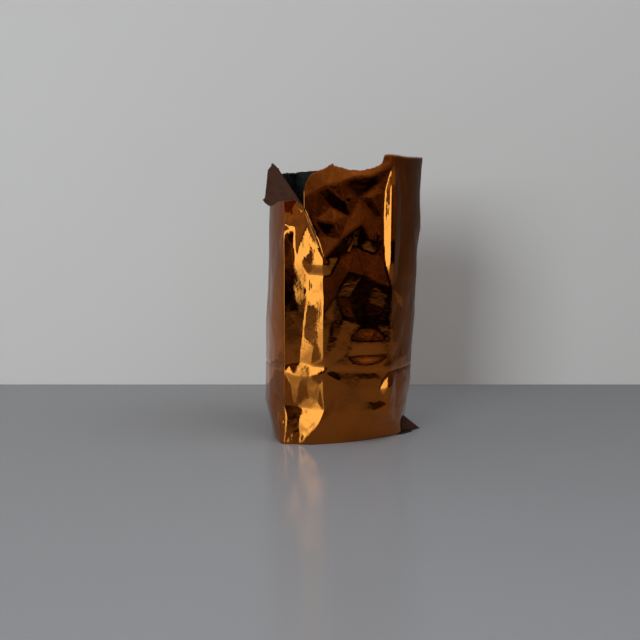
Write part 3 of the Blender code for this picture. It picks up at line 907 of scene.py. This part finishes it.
# %% The liner
LINER_SHARE = 0.95
LINER_FLOOR = 5.6
LINER_ROUNDING = 2.5
LINER_CENTRE = np.array((2.0 + LAYOUT_X, 56.0 + LAYOUT_Y))
TOP_LINER = ((0, 150), (12, 132), (30, 131), (60, 150), (82, 176), (110, 200),
             (140, 219), (170, 225), (214, 229), (258, 231.5), (298, 231.8), (330, 226),
             (370, 214), (400, 190), (AROUND, 150))
liner_columns = spaced(0.0, AROUND, 1.7)
liner_top = edge_height(liner_columns, TOP_LINER) + 0.8 * wave(liner_columns / 6.0, 41)
liner_top[-1] = liner_top[0]
liner_rows = np.linspace(0.0, 1.0, 110)[:, None]
liner_heights = LINER_FLOOR + liner_rows * (liner_top - LINER_FLOOR)
liner_around, liner_height = (a.ravel() for a in grid_of(liner_columns, liner_heights))
liner_points = rounded_surface(liner_around, liner_height, LINER_ROUNDING)
liner_normal = outward(liner_around, liner_height, LINER_ROUNDING)
liner_points[:, :2] = LINER_CENTRE + (liner_points[:, :2] - LINER_CENTRE) * LINER_SHARE
wrap = np.minimum(liner_around, AROUND - liner_around)
seamless = smooth_step(0.0, 8.0, wrap)
lumps = (1.3 * folded(liner_around / 14.0, liner_height / 11.0, 43)
         + 0.7 * folded(liner_around / 5.0, liner_height / 5.0, 44)) * seamless
liner_points -= liner_normal * (0.6 + np.clip(0.9 + lumps, 0.0, 3.0))[:, None]
rows, columns = liner_heights.shape
numbers = np.arange(rows * columns).reshape(rows, columns)
numbers[:, -1] = numbers[:, 0]
liner_used = np.unique(numbers)
liner_map = np.zeros(rows * columns, int)
liner_map[liner_used] = np.arange(len(liner_used))
bag_liner = mesh_piece("bag_liner", liner_points[liner_used], liner_map[quads(numbers)],
                       (black_film,), "root")
thicken(bag_liner, LINER_FILM, sides=(0, 0))
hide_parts("liner_front_left", "liner_front_right", "liner_right", "liner_back_right",
            "liner_back_left", "liner_left")
print("liner faces:", len(bag_liner.data.polygons))

# %% [markdown]
# ## Small pieces
#
# The dog-ear is a little pocket of film that was pulled out of the bottom's right corner. The seam's glue
# is a thin bead along the overlap. The folded bottom, the card and the glue strip keep their CAD shape,
# which is flat like the real ones, and only get their finishes.

# %% The dog-ear
EAR_LOW, EAR_HIGH, EAR_TIP = (42.0, 22.5, 0.6), (46.0, 32.0, 23.0), (72.3, 43.6, 0.9)


def dog_ear():
    """A flattened pocket that runs to a point: rings between a low and a high edge that meet there."""
    low_root, high_root, tip = (np.array(place) for place in (EAR_LOW, EAR_HIGH, EAR_TIP))
    across = np.cross(tip - low_root, high_root - low_root)
    across /= np.linalg.norm(across)
    rings, sides = 26, 28
    points = []
    for ring in range(rings):
        share = ring / rings
        low = low_root + (tip - low_root) * share
        high = high_root + (tip - high_root) * share ** 1.15
        thick = 2.6 * (1.0 - share) ** 0.8 + 0.15
        for side in range(sides):
            angle = 2.0 * np.pi * side / sides
            up, out = np.cos(angle), np.sin(angle)
            points.append((low + high) / 2 + (high - low) / 2 * up + across * out * thick)
    points.append(tip)
    numbers = np.arange(rings * sides).reshape(rings, sides)
    numbers = np.concatenate((numbers, numbers[:, :1]), axis=1)
    faces = quads(numbers.T).tolist()
    faces += [(int(a), len(points) - 1, int(b)) for a, b in zip(numbers[-1], numbers[-1, 1:])]
    points = np.array(points)
    points += across * (0.3 * folded(points[:, 0] / 4.0, points[:, 2] / 4.0, 51))[:, None]
    points[:, 2] = np.maximum(points[:, 2], 0.2)
    points[:, :2] += (LAYOUT_X, LAYOUT_Y)
    return mesh_piece("dog_ear_film", points, faces, (film_flat, brown_paper, torn_edge), "root")


ear = dog_ear()
thicken(ear, EAR_FILM)
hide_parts("right_dog_ear")


# %% Painted shade under the dog-ear: a black sliver, cut like the base card's corner, stands for the dark gap beneath the lifted corner
def shade_sliver_under_ear():
    """A flat black sliver with straight sides: painted shade under the lifted dog-ear."""
    outline = ((50.0, 24.5), (56.0, 27.2), (64.5, 35.4), (62.5, 37.0), (52.0, 31.0))
    points = [(x + LAYOUT_X, y + LAYOUT_Y, z) for z in (0.1, 0.75) for x, y in outline]
    count = len(outline)
    faces = [tuple(range(count))[::-1], tuple(range(count, 2 * count))]
    faces += [(k, (k + 1) % count, count + (k + 1) % count, count + k) for k in range(count)]
    piece = mesh_piece("painted_shade_under_ear", np.array(points), faces, (black_card_and_shade,), "root")
    piece.data.shade_flat()
    return piece


shade_sliver_under_ear()

# %% The bead of glue inside the seam
def glue_bead():
    """A thin strip on the inner side of the overlap."""
    heights = np.arange(FOLD + 6.0, MOUTH - 6.0, 2.0)
    points = []
    for offset in (271.5, 273.0, 274.5, 276.0):
        places = np.full_like(heights, offset) + 0.5 * noise(heights / 9.0, heights * 0.0 + offset, 61)
        points.append(bag_surface(places, heights) - outward(places, heights, 0.5) * 0.75)
    faces = quads(np.arange(4 * len(heights)).reshape(4, -1).T)
    return mesh_piece("seam_glue_bead", np.concatenate(points), faces, (dried_glue,), "root")


bead = glue_bead()
thicken(bead, GLUE_LAYER, -1.0, (0, 0))
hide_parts("seam_glue_line")

# %% Finishes for the pieces that keep their CAD shape
for node, material in (("right_bottom_flap", film_flat), ("left_bottom_flap", film_flat),
                       ("front_tuck", film_flat), ("back_tuck", film_flat),
                       ("bottom_glue_strip", dried_glue), ("base_card", black_card_and_shade),
                       ("liner_base", black_film)):
    for material_slot in frame["nodes"][node].material_slots:
        material_slot.material = material

# %% [markdown]
# ## The table, the wall and the light
#
# Film this shiny is lit by its surroundings. One tall soft light stands for a window at the front left.
# The film mirrors it, and a second light beside it, which the film doesn't mirror, lights the table and
# the wall. What else the film mirrors is the room: a patchy background, dark near the table's height. The
# wall is one-sided, so that it never hides the bag from behind.

# %% Table and wall
def flat_stage(name, corners, material):
    """One flat face that isn't part of the object."""
    mesh = bpy.data.meshes.new(name)
    mesh.from_pydata(corners, [], [(0, 1, 2, 3)])
    mesh.materials.append(material)
    obj = new_object(name, mesh)
    return obj


def stage_finish(name, colour, rough, one_sided):
    """An even finish; a one-sided one is clear from behind."""
    material = bpy.data.materials.new(name)
    material.use_nodes = True
    tree = material.node_tree
    shader = tree.nodes["Principled BSDF"]
    shader.inputs["Base Color"].default_value = (*colour, 1.0)
    shader.inputs["Roughness"].default_value = rough
    if one_sided:
        side = add_node(tree, "ShaderNodeNewGeometry")
        clear = add_node(tree, "ShaderNodeBsdfTransparent")
        mixed = mix_shaders(tree, side.outputs["Backfacing"], shader.outputs[0], clear.outputs[0])
        tree.links.new(mixed, tree.nodes["Material Output"].inputs["Surface"])
    return material


WALL_Y = 0.216
TABLE_EDGE = -1.15
SIDE, WALL_END, WALL_TOP = 2.0, 0.42, 2.0
table_top = flat_stage("table_top", [(-SIDE, TABLE_EDGE, 0.0), (SIDE, TABLE_EDGE, 0.0), (SIDE, WALL_Y, 0.0),
                                     (-SIDE, WALL_Y, 0.0)],
                       stage_finish("grey_table", (0.32, 0.34, 0.365), 0.20, False))
wall = flat_stage("wall", [(-SIDE, WALL_Y, 0.0), (WALL_END, WALL_Y, 0.0), (WALL_END, WALL_Y, WALL_TOP),
                           (-SIDE, WALL_Y, WALL_TOP)],
                  stage_finish("pale_wall", (0.65, 0.66, 0.66), 0.9, True))
wall.visible_glossy = False

# %% Light
def soft_light(name, place, aim, width, height, power, colour):
    """A rectangular lamp that the camera doesn't see."""
    data = bpy.data.lights.new(name, "AREA")
    data.shape = "RECTANGLE"
    data.size, data.size_y = width, height
    data.energy, data.color = power, colour
    lamp = new_object(name, data)
    lamp.location = place
    lamp.rotation_euler = (Vector(aim) - Vector(place)).to_track_quat("-Z", "Y").to_euler()
    lamp.visible_camera = False
    return lamp


window = soft_light("window", (-0.80, -1.42, 0.40), (0.0, 0.0, 0.30), 0.50, 1.20, 4.6, (1.0, 1.42, 1.5))
window.visible_diffuse = False
window_glow = soft_light("window_glow", (-0.88, -1.38, 0.45), (0.0, 0.0, 0.25), 0.60, 0.90, 14.5,
                         (0.97, 0.99, 1.0))
window_glow.visible_glossy = False
ceiling = soft_light("ceiling", (0.85, -0.40, 1.50), (0.25, 0.1, 0.1), 1.4, 1.0, 9.5, (0.97, 0.99, 1.0))
ceiling.visible_glossy = False

world = bpy.data.worlds.new("room")
bpy.context.scene.world = world
world.use_nodes = True
tree = world.node_tree
tree.nodes.clear()
output = add_node(tree, "ShaderNodeOutputWorld")
rays = add_node(tree, "ShaderNodeLightPath")
seen = add_node(tree, "ShaderNodeBackground", Color=(0.44, 0.44, 0.43, 1.0), Strength=1.0)
direction = add_node(tree, "ShaderNodeTexCoord")
parts = add_node(tree, "ShaderNodeSeparateXYZ", [("Vector", direction.outputs["Generated"])])


def ramp(value, low, high, bottom, top):
    """A brightness that goes from bottom to top as value goes from low to high."""
    return spread(tree, value, low, high, bottom, top, "SMOOTHSTEP")


clutter = add_node(tree, "ShaderNodeTexNoise", [("Vector", direction.outputs["Generated"])], Scale=10.0,
                   Detail=4.0, Distortion=2.0)
shapes = ramp(clutter.outputs["Fac"], 0.46, 0.64, 0.010, 0.40)
shelves = ramp(parts.outputs["Z"], 0.00, 0.14, 0.03, 1.0)
left_room = ramp(parts.outputs["X"], -0.62, -0.70, 0.0, 0.24)
above = ramp(parts.outputs["Z"], 0.25, 0.75, 0.0, 0.30)
toward_wall = ramp(parts.outputs["Y"], -0.2, 0.5, 0.0, 0.36)
left_side = ramp(parts.outputs["X"], 0.15, -0.10, 0.30, 1.0)
low_side = ramp(parts.outputs["Z"], 0.20, -0.15, 0.58, 1.05)
beyond = math_node(tree, "MULTIPLY", toward_wall, math_node(tree, "MULTIPLY", left_side, low_side))
plain = math_node(tree, "ADD", above, math_node(tree, "MAXIMUM", left_room, beyond))
in_front = ramp(parts.outputs["Y"], 0.40, -0.10, 0.05, 1.0)
strength = math_node(tree, "MULTIPLY", shapes, math_node(tree, "MULTIPLY", shelves, in_front))
furniture = add_node(tree, "ShaderNodeBackground", [("Strength", strength)],
                     Color=(1.0, 0.66, 0.50, 1.0))
walls = add_node(tree, "ShaderNodeBackground", [("Strength", plain)], Color=(1.0, 0.98, 0.95, 1.0))
room = add_node(tree, "ShaderNodeAddShader")
tree.links.new(furniture.outputs[0], room.inputs[0])
tree.links.new(walls.outputs[0], room.inputs[1])
tree.links.new(mix_shaders(tree, rays.outputs["Is Camera Ray"], room.outputs[0], seen.outputs[0]),
               output.inputs["Surface"])
bpy.context.scene.view_settings.view_transform = "Standard"

# %% Camera
CAMERA_X, CAMERA_Y, CAMERA_Z, LOOKS_DOWN = -12.6, -406.0, 114.3, 2.7      # millimetres, degrees
camera_data = bpy.data.cameras.new("camera")
camera_data.lens, camera_data.sensor_width = 30.0, 36.0
camera = new_object("camera", camera_data)
camera.location = ((CAMERA_X + LAYOUT_X) * MM, (CAMERA_Y + LAYOUT_Y) * MM, CAMERA_Z * MM)
camera.rotation_euler = (radians(90.0 - LOOKS_DOWN), 0.0, 0.0)
bpy.context.scene.camera = camera
